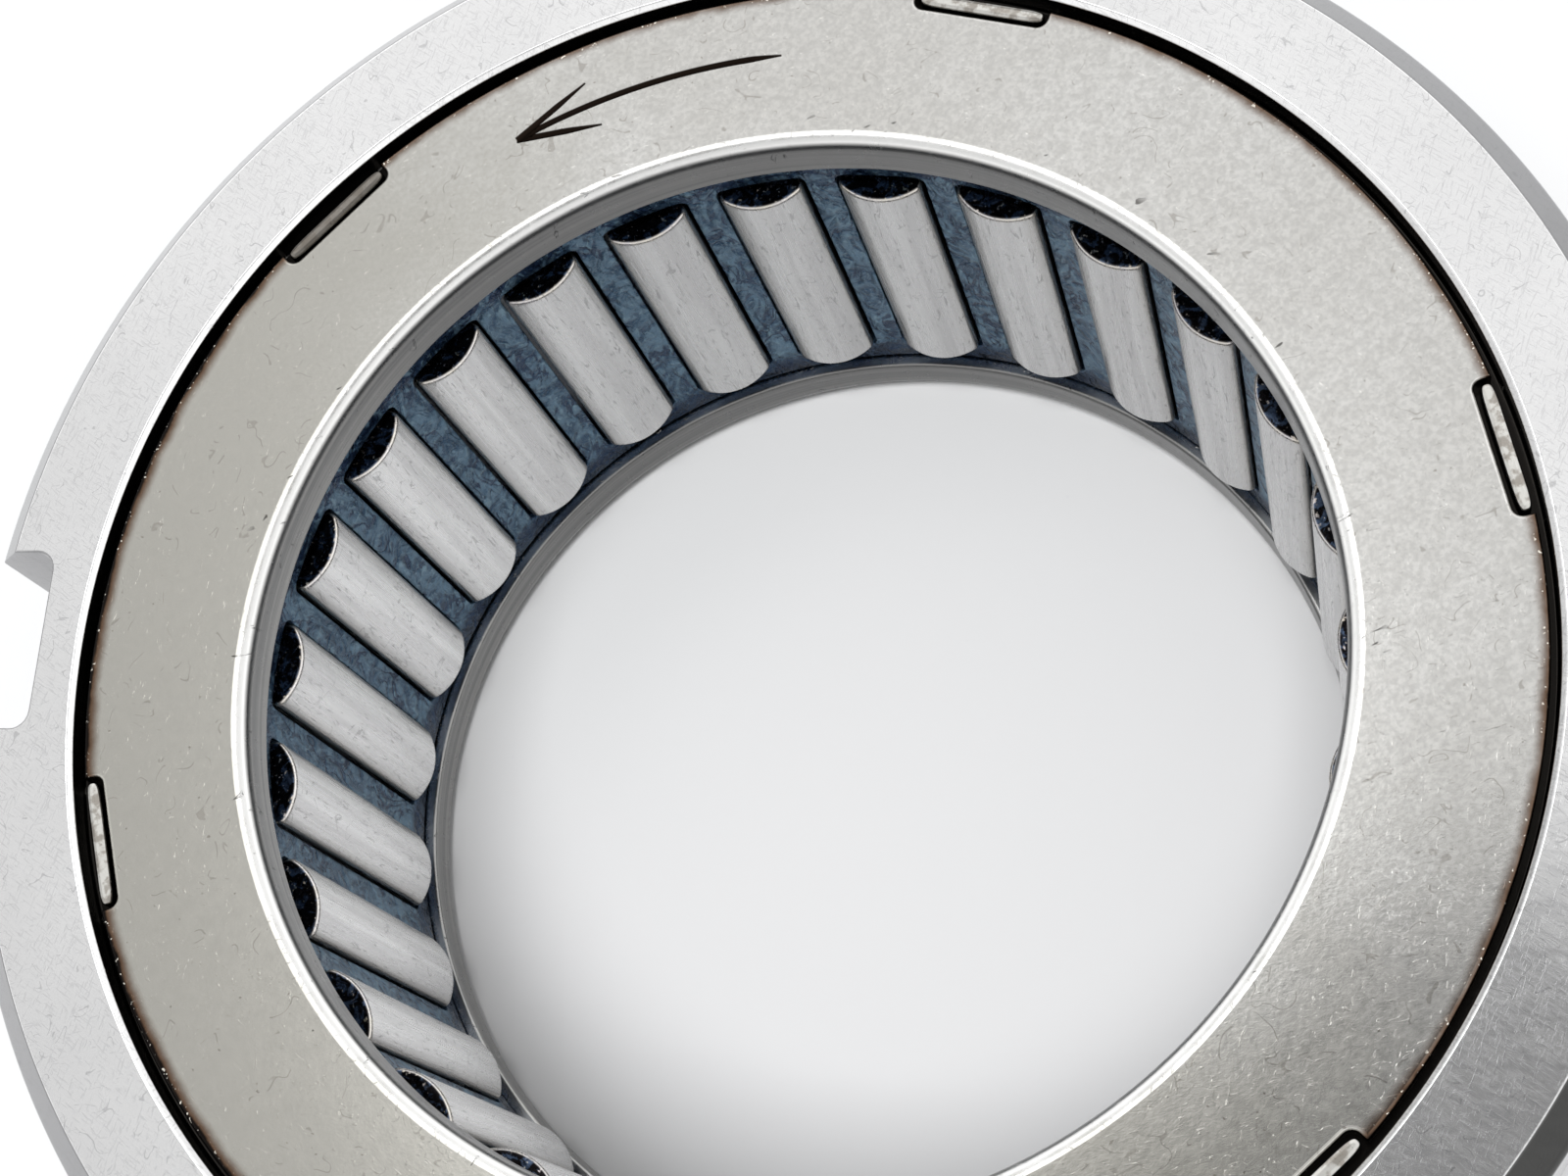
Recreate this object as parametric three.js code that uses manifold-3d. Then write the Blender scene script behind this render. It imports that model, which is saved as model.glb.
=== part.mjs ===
// One-way cam clutch of ball-bearing dimensions, without an inner race: a shaft runs directly
// in the ring of cams. Millimetres, +Z along the axis towards the marked side plate.
// The origin is on the axis, half way between the two end faces.

import * as THREE from 'three';
import { mergeVertices } from 'three/addons/utils/BufferGeometryUtils.js';
import Module from 'manifold-3d';

// Driving dimensions
const OUTER_RADIUS = 45;
const WIDTH = 32;
const SHAFT_RADIUS = 28.06;
const CAM_SPACE = 8.33;
const CAM_COUNT = 27;
const RING_SEGMENTS = 72;
const CAGE_SEGMENTS = 3 * CAM_COUNT;
const OVERCUT = 2;

// Outer race
const HALF_WIDTH = WIDTH / 2;
const TRACK_RADIUS = SHAFT_RADIUS + CAM_SPACE;
const OUTER_CHAMFER = 1.6;
const SEAT_RADIUS = 38.25;
const SEAT_DEPTH = 1.6;
const SEAT_CHAMFER = 0.25;
const KEYWAY_COUNT = 4;
const KEYWAY_FIRST_ANGLE = 45;
const KEYWAY_WIDTH = 10;
const KEYWAY_FLOOR_RADIUS = 40.7;
const KEYWAY_CORNER = 1;

// Side plates: pressed rings whose inner edge is rolled into a short flange
const PLATE_SETBACK = 0.5;
const PLATE_THICKNESS = SEAT_DEPTH - PLATE_SETBACK;
const PLATE_RADIUS = 37.8;
const FLANGE_INNER_RADIUS = 28.45;
const FLANGE_DEPTH = 3.3;
const BEND_INSIDE_RADIUS = 0.4;
const BEND_STEPS = 3;
const RIM_NOTCH_COUNT = 6;
const RIM_NOTCH_FIRST_ANGLE = 32.2;
const RIM_NOTCH_WIDTH = 7.4;
const RIM_NOTCH_FLOOR_RADIUS = 36.6;

// Stakes: lugs that stand up from the race's shoulders in the rim notches and hold the plates
const STAKE_GAP = 0.35;
const STAKE_ROOT = 0.35;
const STAKE_SETBACK = 0.7;
const STAKE_OUTER_RADIUS = PLATE_RADIUS - 0.15;

// Cams, each rocking about a pivot axis between its broad inner face and its round outer lobe
const CAM_PIVOT_RADIUS = 32;
const CAM_FIRST_ANGLE = -0.5;
const CAM_HALF_LENGTH = HALF_WIDTH - 5.7;
const CAM_INNER_REACH = 27.9;
const CAM_FACE_RADIUS = 3.5;
const CAM_FACE_HALF_WIDTH = 2.36;
const CAM_OUTER_LOBE = 3;
const CAM_TRACK_GAP = 0.3;
const CAM_OFFSET = 0.5;
const CAM_WAIST = 1.35;
const CAM_WAIST_SHIFT = 0.35;
const CAM_WAIST_RADIUS = 31.5;
const CAM_LOBE_SWEEP = 105;
const CAM_CHAMFER = 0.3;
const CAM_CURVE_STEPS = 3;

// Cages and ribbon spring, concentric and turning together. The inner cage runs between the flanges
const CAGE_HALF_WIDTH = HALF_WIDTH - SEAT_DEPTH - 0.7;
const INNER_CAGE_RADIUS = 29.2;
const INNER_CAGE_THICKNESS = 0.9;
const INNER_CAGE_HALF_WIDTH = HALF_WIDTH - FLANGE_DEPTH - 0.2;
const OUTER_CAGE_RADIUS = 33.9;
const OUTER_CAGE_THICKNESS = 1;
const WINDOW_HALF_LENGTH = CAM_HALF_LENGTH + 0.4;
const INNER_WINDOW_WIDTH = 5.1;
const OUTER_WINDOW_SIDE_GAP = 0.27;
const SPRING_RADIUS = 31.35;
const SPRING_THICKNESS = 0.35;
const SPRING_HALF_WIDTH = CAGE_HALF_WIDTH - 0.8;
const SPRING_WINDOW_WIDTH = 5.4;

const wasm = await Module();
wasm.setup();

const radians = THREE.MathUtils.degToRad;
const point = (r, z) => new THREE.Vector2(r, z);

function metal(color, roughness) {
  return new THREE.MeshStandardMaterial({ color, roughness, metalness: 1 });
}

const groundSteel = metal(0xcfd0d2, 0.38);
const plateSteel = metal(0xb9b2a6, 0.5);
const camSteel = metal(0xb4b6b8, 0.3);
const bluedSteel = metal(0x4c6178, 0.45);
const springSteel = metal(0x8c8f94, 0.35);

function toSolid(geometry) {
  const bare = geometry.clone();
  bare.deleteAttribute('normal');
  bare.deleteAttribute('uv');
  const merged = mergeVertices(bare, 1e-4);
  return new wasm.Manifold(new wasm.Mesh({
    numProp: 3,
    vertProperties: new Float32Array(merged.attributes.position.array),
    triVerts: new Uint32Array(merged.index.array),
  }));
}

function toGeometry(solid) {
  const mesh = solid.getMesh();
  const geometry = new THREE.BufferGeometry();
  geometry.setAttribute('position', new THREE.BufferAttribute(mesh.vertProperties, 3));
  geometry.setIndex(new THREE.BufferAttribute(mesh.triVerts, 1));
  geometry.computeVertexNormals();
  return geometry;
}

// A ring turned about Z. The profile runs up the outside and down the inside, as (radius, z).
function turnedRing(profile, segments) {
  const closed = [...profile, profile[0].clone()];
  return new THREE.LatheGeometry(closed, segments).rotateX(Math.PI / 2);
}

function rectangleRing(innerRadius, thickness, halfWidth, segments) {
  const outer = innerRadius + thickness;
  const profile = [
    point(outer, -halfWidth), point(outer, halfWidth),
    point(innerRadius, halfWidth), point(innerRadius, -halfWidth),
  ];
  return turnedRing(profile, segments);
}

// A block that reaches outwards along X from one radius to another, then turned about Z.
function radialBlock(fromRadius, toRadius, width, lowZ, highZ, angle) {
  const block = new THREE.BoxGeometry(toRadius - fromRadius, width, highZ - lowZ);
  block.translate((fromRadius + toRadius) / 2, 0, (lowZ + highZ) / 2);
  return toSolid(block.rotateZ(radians(angle)));
}

function evenAngles(first, count) {
  return Array.from({ length: count }, (_, i) => first + (i * 360) / count);
}

function keywayCutter(angle) {
  const far = OUTER_RADIUS + OVERCUT;
  const half = KEYWAY_WIDTH / 2;
  const inner = KEYWAY_FLOOR_RADIUS + KEYWAY_CORNER;
  const outline = new THREE.Shape();
  outline.moveTo(far, -half);
  outline.lineTo(far, half);
  outline.lineTo(inner, half);
  outline.absarc(inner, half - KEYWAY_CORNER, KEYWAY_CORNER, Math.PI / 2, Math.PI, false);
  outline.lineTo(KEYWAY_FLOOR_RADIUS, -half + KEYWAY_CORNER);
  outline.absarc(inner, -half + KEYWAY_CORNER, KEYWAY_CORNER, Math.PI, 1.5 * Math.PI, false);
  outline.closePath();
  const depth = WIDTH + 2 * OVERCUT;
  const cutter = new THREE.ExtrudeGeometry(outline, { depth, bevelEnabled: false, curveSegments: 2 });
  cutter.translate(0, 0, -depth / 2);
  return toSolid(cutter.rotateZ(radians(angle)));
}

function stake(angle, side) {
  const shoulder = HALF_WIDTH - SEAT_DEPTH;
  const ends = [side * (shoulder - STAKE_ROOT), side * (HALF_WIDTH - STAKE_SETBACK)];
  const width = RIM_NOTCH_WIDTH - 2 * STAKE_GAP;
  const inner = RIM_NOTCH_FLOOR_RADIUS + STAKE_GAP;
  return radialBlock(inner, STAKE_OUTER_RADIUS, width, Math.min(...ends), Math.max(...ends), angle);
}

function outerRace() {
  const shoulder = HALF_WIDTH - SEAT_DEPTH;
  const face = HALF_WIDTH;
  const profile = [
    point(OUTER_RADIUS, -face + OUTER_CHAMFER), point(OUTER_RADIUS, face - OUTER_CHAMFER),
    point(OUTER_RADIUS - OUTER_CHAMFER, face), point(SEAT_RADIUS + SEAT_CHAMFER, face),
    point(SEAT_RADIUS, face - SEAT_CHAMFER), point(SEAT_RADIUS, shoulder),
    point(TRACK_RADIUS, shoulder), point(TRACK_RADIUS, -shoulder),
    point(SEAT_RADIUS, -shoulder), point(SEAT_RADIUS, -face + SEAT_CHAMFER),
    point(SEAT_RADIUS + SEAT_CHAMFER, -face), point(OUTER_RADIUS - OUTER_CHAMFER, -face),
  ];
  let solid = toSolid(turnedRing(profile, RING_SEGMENTS));
  for (const angle of evenAngles(KEYWAY_FIRST_ANGLE, KEYWAY_COUNT)) {
    solid = solid.subtract(keywayCutter(angle));
  }
  for (const angle of evenAngles(RIM_NOTCH_FIRST_ANGLE, RIM_NOTCH_COUNT)) {
    solid = solid.add(stake(angle, 1)).add(stake(angle, -1));
  }
  return toGeometry(solid);
}

// Points of a quarter circle in the (radius, z) plane, angles in degrees.
function bend(r, z, radius, fromAngle, toAngle) {
  return Array.from({ length: BEND_STEPS + 1 }, (_, i) => {
    const angle = radians(fromAngle + ((toAngle - fromAngle) * i) / BEND_STEPS);
    return point(r + radius * Math.cos(angle), z + radius * Math.sin(angle));
  });
}

function sidePlate() {
  const top = HALF_WIDTH - PLATE_SETBACK;
  const under = top - PLATE_THICKNESS;
  const flangeOuter = FLANGE_INNER_RADIUS + PLATE_THICKNESS;
  const flangeEnd = HALF_WIDTH - FLANGE_DEPTH;
  const bendR = flangeOuter + BEND_INSIDE_RADIUS;
  const bendZ = under - BEND_INSIDE_RADIUS;
  const profile = [
    point(PLATE_RADIUS, under), point(PLATE_RADIUS, top),
    ...bend(bendR, bendZ, BEND_INSIDE_RADIUS + PLATE_THICKNESS, 90, 180),
    point(FLANGE_INNER_RADIUS, flangeEnd), point(flangeOuter, flangeEnd),
    ...bend(bendR, bendZ, BEND_INSIDE_RADIUS, 180, 90),
  ];
  let solid = toSolid(turnedRing(profile, RING_SEGMENTS));
  for (const angle of evenAngles(RIM_NOTCH_FIRST_ANGLE, RIM_NOTCH_COUNT)) {
    const far = PLATE_RADIUS + OVERCUT;
    const cutter = radialBlock(
      RIM_NOTCH_FLOOR_RADIUS, far, RIM_NOTCH_WIDTH, under - OVERCUT, top + OVERCUT, angle);
    solid = solid.subtract(cutter);
  }
  return toGeometry(solid);
}

// A windowed ring. Windows are centred at camAngle + windowTurn for each cam.
function windowedRing(innerRadius, thickness, halfWidth, windowWidth, windowTurn) {
  let solid = toSolid(rectangleRing(innerRadius, thickness, halfWidth, CAGE_SEGMENTS));
  for (const angle of evenAngles(CAM_FIRST_ANGLE + windowTurn, CAM_COUNT)) {
    solid = solid.subtract(radialBlock(
      innerRadius - OVERCUT, innerRadius + thickness + OVERCUT, windowWidth,
      -WINDOW_HALF_LENGTH, WINDOW_HALF_LENGTH, angle));
  }
  return toGeometry(solid);
}

// Where the centres of a cam's inner face and outer lobe lie, as radii from the clutch's axis.
const faceCentreRadius = CAM_INNER_REACH + CAM_FACE_RADIUS;
const lobeCentreRadius = TRACK_RADIUS - CAM_TRACK_GAP - CAM_OUTER_LOBE;
const turnToFace = THREE.MathUtils.radToDeg(Math.asin(CAM_OFFSET / faceCentreRadius));
const turnToLobe = -THREE.MathUtils.radToDeg(Math.asin(CAM_OFFSET / lobeCentreRadius));

// Cam section about its own pivot: X points away from the clutch's axis.
function camOutline() {
  const lobeX = lobeCentreRadius - CAM_PIVOT_RADIUS;
  const faceX = faceCentreRadius - CAM_PIVOT_RADIUS;
  const waistX = CAM_WAIST_RADIUS - CAM_PIVOT_RADIUS;
  const lobeSweep = radians(CAM_LOBE_SWEEP);
  const faceSweep = Math.asin(CAM_FACE_HALF_WIDTH / CAM_FACE_RADIUS);
  const faceEdgeX = faceX - CAM_FACE_RADIUS * Math.cos(faceSweep);
  const outline = new THREE.Shape();
  outline.absarc(lobeX, -CAM_OFFSET, CAM_OUTER_LOBE, -lobeSweep, lobeSweep, false);
  outline.quadraticCurveTo(
    waistX, CAM_WAIST_SHIFT + CAM_WAIST, faceEdgeX, CAM_OFFSET + CAM_FACE_HALF_WIDTH);
  outline.absarc(
    faceX, CAM_OFFSET, CAM_FACE_RADIUS, Math.PI - faceSweep, Math.PI + faceSweep, false);
  outline.quadraticCurveTo(
    waistX, CAM_WAIST_SHIFT - CAM_WAIST,
    lobeX + CAM_OUTER_LOBE * Math.cos(lobeSweep), -CAM_OFFSET - CAM_OUTER_LOBE * Math.sin(lobeSweep));
  return outline;
}

function camGeometry() {
  const depth = 2 * (CAM_HALF_LENGTH - CAM_CHAMFER);
  const geometry = new THREE.ExtrudeGeometry(camOutline(), {
    depth,
    curveSegments: CAM_CURVE_STEPS,
    bevelThickness: CAM_CHAMFER,
    bevelSize: CAM_CHAMFER,
    bevelOffset: -CAM_CHAMFER,
    bevelSegments: 1,
  });
  return geometry.translate(0, 0, -depth / 2);
}

function addMesh(parent, name, geometry, material) {
  const mesh = new THREE.Mesh(geometry, material);
  mesh.name = name;
  parent.add(mesh);
  return mesh;
}

const clutch = new THREE.Group();
addMesh(clutch, 'outer_race', outerRace(), groundSteel);

const plate = sidePlate();
addMesh(clutch, 'front_side_plate', plate, plateSteel);
// The back plate is the same pressing, spun until its notches meet the stakes once it is turned over.
const backPlate = addMesh(clutch, 'back_side_plate', plate, plateSteel);
backPlate.rotation.set(Math.PI, 0, radians(-2 * RIM_NOTCH_FIRST_ANGLE));

const outerWindow = 2 * (CAM_OUTER_LOBE + OUTER_WINDOW_SIDE_GAP);
addMesh(clutch, 'inner_cage', windowedRing(
  INNER_CAGE_RADIUS, INNER_CAGE_THICKNESS, INNER_CAGE_HALF_WIDTH, INNER_WINDOW_WIDTH, turnToFace), bluedSteel);
addMesh(clutch, 'outer_cage', windowedRing(
  OUTER_CAGE_RADIUS, OUTER_CAGE_THICKNESS, CAGE_HALF_WIDTH, outerWindow, turnToLobe), bluedSteel);
addMesh(clutch, 'ribbon_spring', windowedRing(
  SPRING_RADIUS, SPRING_THICKNESS, SPRING_HALF_WIDTH, SPRING_WINDOW_WIDTH, 0), springSteel);

const cam = camGeometry();
evenAngles(CAM_FIRST_ANGLE, CAM_COUNT).forEach((angle, i) => {
  const station = new THREE.Group();
  station.rotation.z = radians(angle);
  const mesh = addMesh(station, `cam_${String(i + 1).padStart(2, '0')}`, cam, camSteel);
  mesh.position.x = CAM_PIVOT_RADIUS;
  clutch.add(station);
});

export default clutch;
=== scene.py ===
"""A one-way cam clutch of ball-bearing size, lying on a pale table.

The CAD nodes give the places and motions. Each one is replaced by a finer mesh that rides on the
same body. The shapes' lengths are in millimetres, and MM turns them into metres. The stage, and the
bands and depths inside the materials, are in metres, and the scales of noise are per metre.
"""
import math

import bmesh
import bpy
from mathutils import Matrix, Vector


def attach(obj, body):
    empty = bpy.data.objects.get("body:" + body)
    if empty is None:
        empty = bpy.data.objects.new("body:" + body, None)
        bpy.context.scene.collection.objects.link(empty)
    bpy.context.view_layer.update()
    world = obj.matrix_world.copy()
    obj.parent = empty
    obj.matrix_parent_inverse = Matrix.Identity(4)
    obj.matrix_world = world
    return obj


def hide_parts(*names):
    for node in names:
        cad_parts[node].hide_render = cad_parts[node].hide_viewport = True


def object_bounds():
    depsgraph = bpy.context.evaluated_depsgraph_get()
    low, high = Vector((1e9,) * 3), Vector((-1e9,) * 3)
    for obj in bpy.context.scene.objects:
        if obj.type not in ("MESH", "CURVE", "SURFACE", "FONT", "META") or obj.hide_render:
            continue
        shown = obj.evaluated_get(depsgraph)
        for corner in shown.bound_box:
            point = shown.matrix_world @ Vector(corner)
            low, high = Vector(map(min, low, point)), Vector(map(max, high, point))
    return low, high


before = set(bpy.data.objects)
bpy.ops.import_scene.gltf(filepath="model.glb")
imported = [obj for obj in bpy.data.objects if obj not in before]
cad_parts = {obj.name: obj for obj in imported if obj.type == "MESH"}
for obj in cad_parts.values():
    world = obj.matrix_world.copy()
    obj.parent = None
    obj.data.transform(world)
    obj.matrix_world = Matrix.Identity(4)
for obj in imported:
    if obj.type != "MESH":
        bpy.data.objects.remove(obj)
cad_low, cad_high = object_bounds()

MM = 0.001
HALF_WIDTH = cad_high.z / MM
OUTER_RADIUS = cad_high.x / MM
TURN_SEGMENTS = 480

# Outer race. A lip is (how far below the face, how much wider the slot is there).
CHAMFER = 1.6
SEAT_RADIUS = 38.25
SEAT_CHAMFER = 0.25
SHOULDER = HALF_WIDTH - 1.6
TRACK_RADIUS = 36.39
KEYWAY = {"count": 4, "first": 45.0, "half": 5.0, "floor": 40.7, "corner": 1.0}
KEYWAY_LIP = ((-0.3, 0.2), (0, 0.13), (0.02, 0.07), (0.06, 0.03), (0.13, 0.0))

# Side plates
PLATE_RADIUS = 37.8
PLATE_FACE = HALF_WIDTH - 0.5
PLATE_THICKNESS = PLATE_FACE - SHOULDER
FLANGE_RADIUS = 28.45
FLANGE_END = HALF_WIDTH - 3.3
RIM_NOTCH = {"count": 6, "first": 32.2, "half": 3.7, "floor": 36.6, "corner": 0.55}
RIM_NOTCH_LIP = ((-0.3, 0.3), (0, 0.22), (0.03, 0.12), (0.09, 0.05), (0.2, 0.0))
STAKE = {"inner": 36.87, "outer": 37.65, "half": 3.45, "top": HALF_WIDTH - 0.65}

# Arrow stamped on the front plate, pointing counter-clockwise
ARROW_RADIUS = 34.0
ARROW_TAIL = 49.2
ARROW_TIP = 75.2
BARB_LENGTH = 4.9
BARB_SPREAD = 17.0
BARB_STEPS = 12
STROKE_WIDTH = 0.42
STROKE_DEPTH = 0.24
SHAFT_STEPS = 40

# Cams
CAM_COUNT = 27
CAM_FIRST = -0.5
CAM_PIVOT = 32.0
CAM_OFFSET = 0.5
CAM_HALF_LENGTH = HALF_WIDTH - 5.7
CAM_FACE = {"centre": 31.4, "radius": 3.5, "half": 2.36, "corner": 0.62}
CAM_LOBE = {"centre": 33.09, "radius": 3.0, "sweep": 105.0}
CAM_WAIST = {"radius": 31.5, "half": 1.35, "shift": 0.35}
CAM_END_ROUND = ((0.5, 0), (0.22, 0), (0.12, 0.03), (0.03, 0.12), (0, 0.22), (0, 0.30))

# Cages and spring: rings with a window for each cam. Half is half a height, window half a width.
INNER_CAGE = {"radius": 29.2, "thickness": 0.9, "half": FLANGE_END - 0.2, "window": 2.58}
OUTER_CAGE = {"radius": 33.9, "thickness": 1.0, "half": 13.7, "window": 3.27}
SPRING = {"radius": 31.35, "thickness": 0.35, "half": OUTER_CAGE["half"] - 0.8, "window": 2.7}
WINDOW_HALF = CAM_HALF_LENGTH + 0.4
WINDOW_CORNER = 0.5

# Wear, dirt and painted shade on the race: each band is (where a mark starts, where it is full)
RACE_SMEAR_AND_SHADE_Y = (-0.018, -0.032)
RACE_OUTSIDE_RADIUS = (0.0400, 0.0405)
CHAMFER_SHADE_HEIGHT = (0.0142, 0.0144)
CHAMFER_SHADE_Y = (-0.008, -0.030)
STAKE_RADIUS = (0.0378, 0.0377)
STAKE_HEIGHT = (0.01515, 0.01525)
STAKE_DARK_Y = (0.019, 0.034)
SEAT_SHADOW_RADIUS = (0.03830, 0.03818)
SEAT_SHADOW_HEIGHT = (0.01590, 0.01560)

# Wear, dirt, painted shade and painted highlights on the side plates
PLATE_SHADE_X = (0.021, -0.008)
DENT_RADIUS = (0.0305, 0.0298)
RIM_SHIFT_X = (-0.015, 0.01)
RIM_DIRT_RADIUS = (0.0368, 0.0375)
RIM_OIL_AND_SHADOW_RADIUS = (0.03743, 0.03760)
RIM_GLINT_RADIUS = (0.0374, 0.0379)
BEND_HIGHLIGHT_RADIUS = (0.02932, 0.02886)
FLANGE_INSIDE_RADIUS = (0.02875, 0.0285)
FLANGE_SHADE_X = (-0.020, 0.004)
GROOVE_HEIGHT = (0.01549, 0.01545)
GROOVE_INNER_RADIUS = (0.0318, 0.0320)
GROOVE_OUTER_RADIUS = (0.0365, 0.0363)
SMUDGE = {"angle": -65, "radius": 33.8, "reach": (0.0042, 0.0005)}

# Wear, dirt, painted shade, painted highlights and painted reflections on the cams and cages
CAM_SHADE_X = (-0.012, 0.010)
CAM_FLANK_SHADE_RADIUS = (0.02835, 0.0290)
CAM_SHADE_RADIUS = (0.0288, 0.0292)
CAM_END_HIGHLIGHT_HEIGHT = (0.01006, 0.01012)
CAM_END_HEIGHT = (0.01020, 0.01027)
CAGE_POOL_HEIGHT = (0.0103, 0.0112)
CAGE_BOTTOM_Z = (-0.0098, -0.0112)

# Stage. The camera's distance and aim are in millimetres, and the aim lies in the plane of the
# upper face. The dome's bands are components of the direction from the middle.
TABLE_REACH = 3.0
LAMP = {"place": (-0.13, -0.12, 0.88), "size": 0.35, "power": 10.0}
VIEW_ANGLES = {"azimuth": -91.32, "elevation": 69.55, "roll": -40.33}
VIEW_DISTANCE = 124.83
VIEW_AIM = Vector((-3.46, -5.94, HALF_WIDTH))
LENS = 58.0
LENS_SHIFT = (-0.0036, 0.1209)
DARK_OVERHEAD_Z = (0.966, 0.977)
DIM_SIDE_X = (-0.34, 0.16)
BRIGHT_RING_LOW_Z = (0.25, 0.42)
BRIGHT_RING_HIGH_Z = (0.70, 0.58)
BRIGHT_SPOT = {"way": (0.0, 0.30, 0.954), "cosine": (0.9816, 0.9945)}


def clock(angle, radius, z=0.0):
    a = math.radians(angle)
    return Vector((radius * math.cos(a), radius * math.sin(a), z))


# ---------------------------------------------------------------- mesh helpers

def shade(mesh, smooth_angle=34.0, flat_enough=0.9999):
    """Smooth shading with sharp corners. The flat end faces stay flat, to mirror like flat metal."""
    mesh.set_sharp_from_angle(angle=math.radians(smooth_angle))
    for polygon in mesh.polygons:
        polygon.use_smooth = abs(polygon.normal.z) < flat_enough


def make_object(name, mesh):
    shade(mesh)
    piece = bpy.data.objects.new(name, mesh)
    bpy.context.scene.collection.objects.link(piece)
    return piece


def mesh_from(name, points, faces, weld=False):
    mesh = bpy.data.meshes.new(name)
    mesh.from_pydata([Vector(p) * MM for p in points], [], faces)
    if weld:
        form = bmesh.new()
        form.from_mesh(mesh)
        bmesh.ops.remove_doubles(form, verts=form.verts, dist=1e-3 * MM)
        form.to_mesh(mesh)
        form.free()
    mesh.update()
    return mesh


def loft(loops, closed=True, caps=False, start=0):
    """Points and faces of a skin over loops that all have the same number of points."""
    count = len(loops[0])
    rows = len(loops)
    points = [p for loop in loops for p in loop]
    faces = []
    for k in range(rows if closed else rows - 1):
        a = start + k * count
        b = start + (k + 1) % rows * count
        for j in range(count):
            n = (j + 1) % count
            faces.append((a + j, a + n, b + n, b + j))
    if caps:
        faces.append(tuple(reversed(range(start, start + count))))
        faces.append(tuple(range(start + (rows - 1) * count, start + rows * count)))
    return points, faces


def rounded(corners, steps=5, hold=1.7):
    """A closed (radius, z) outline. Each corner is (radius, z, tangent length of its round)."""
    outline = []
    for i, (r, z, size) in enumerate(corners):
        here = Vector((r, z))
        before = Vector(corners[i - 1][:2]) - here
        after = Vector(corners[(i + 1) % len(corners)][:2]) - here
        a = here + before.normalized() * size
        b = here + after.normalized() * size
        outline.append(here + before.normalized() * min(size * hold, before.length * 0.45))
        for s in range(steps + 1):
            t = s / steps
            outline.append(a * (1 - t) ** 2 + here * 2 * t * (1 - t) + b * t * t)
        outline.append(here + after.normalized() * min(size * hold, after.length * 0.45))
    return outline


def turned(profile):
    """Points and faces of a closed (radius, z) profile turned about Z."""
    angles = [360.0 * s / TURN_SEGMENTS for s in range(TURN_SEGMENTS)]
    loops = [[clock(angle, r, z) for angle in angles] for r, z in profile]
    return loft(loops)


def notch_outline(notch, reach, grow):
    """Half-open slot in (outwards, across), with round inner corners, grown all round."""
    half, floor, corner = notch["half"] + grow, notch["floor"] - grow, notch["corner"] + grow
    side = [Vector((reach, half))]
    for s in range(7):
        turn = math.radians(90 * s / 6)
        outward = floor + corner - corner * math.sin(turn)
        side.append(Vector((outward, half - corner + corner * math.cos(turn))))
    return side + [Vector((p.x, -p.y)) for p in reversed(side)]


def notch_cutters(notch, reach, levels):
    """Cutters for every slot. Levels are (z, how much wider the slot is there)."""
    cutters = []
    for i in range(notch["count"]):
        turn = Matrix.Rotation(math.radians(notch["first"] + i * 360.0 / notch["count"]), 3, "Z")
        loops = [[turn @ Vector((p.x, p.y, z)) for p in notch_outline(notch, reach, grow)]
                 for z, grow in levels]
        cutters.append(closed_form("notch", *loft(loops, closed=False, caps=True)))
    return cutters


def closed_form(name, points, faces):
    mesh = mesh_from(name, points, faces)
    form = bmesh.new()
    form.from_mesh(mesh)
    bmesh.ops.recalc_face_normals(form, faces=form.faces)
    form.to_mesh(mesh)
    form.free()
    return make_object(name, mesh)


def cut(piece, cutters):
    for cutter in cutters:
        modifier = piece.modifiers.new("cut", "BOOLEAN")
        modifier.operation = "DIFFERENCE"
        modifier.solver = "EXACT"
        modifier.object = cutter
    depsgraph = bpy.context.evaluated_depsgraph_get()
    mesh = bpy.data.meshes.new_from_object(piece.evaluated_get(depsgraph))
    piece.modifiers.clear()
    piece.data = mesh
    shade(mesh)
    for cutter in cutters:
        bpy.data.objects.remove(cutter)


# ---------------------------------------------------------------- race and plates

def stake_skin(angle, side, start):
    """One lug in a rim notch: a bar with round ends and a crowned top."""
    long, thick = STAKE["half"], (STAKE["outer"] - STAKE["inner"]) / 2
    middle = (STAKE["outer"] + STAKE["inner"]) / 2
    turn = Matrix.Rotation(math.radians(angle), 3, "Z")
    levels = [(SHOULDER - 0.3, 0.0), (STAKE["top"] - 0.22, 0.0), (STAKE["top"] - 0.06, 0.08),
              (STAKE["top"], 0.24)]
    if side < 0:
        levels = [(-z, inset) for z, inset in reversed(levels)]
    loops = []
    for z, inset in levels:
        loop = []
        for s in range(40):
            a = 2 * math.pi * s / 40
            u = middle + (thick - inset) * math.copysign(abs(math.cos(a)) ** 0.6, math.cos(a))
            v = (long - inset) * math.copysign(abs(math.sin(a)) ** 0.25, math.sin(a))
            loop.append(turn @ Vector((u, v, z)))
        loops.append(loop)
    return loft(loops, closed=False, caps=True, start=start)


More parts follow.
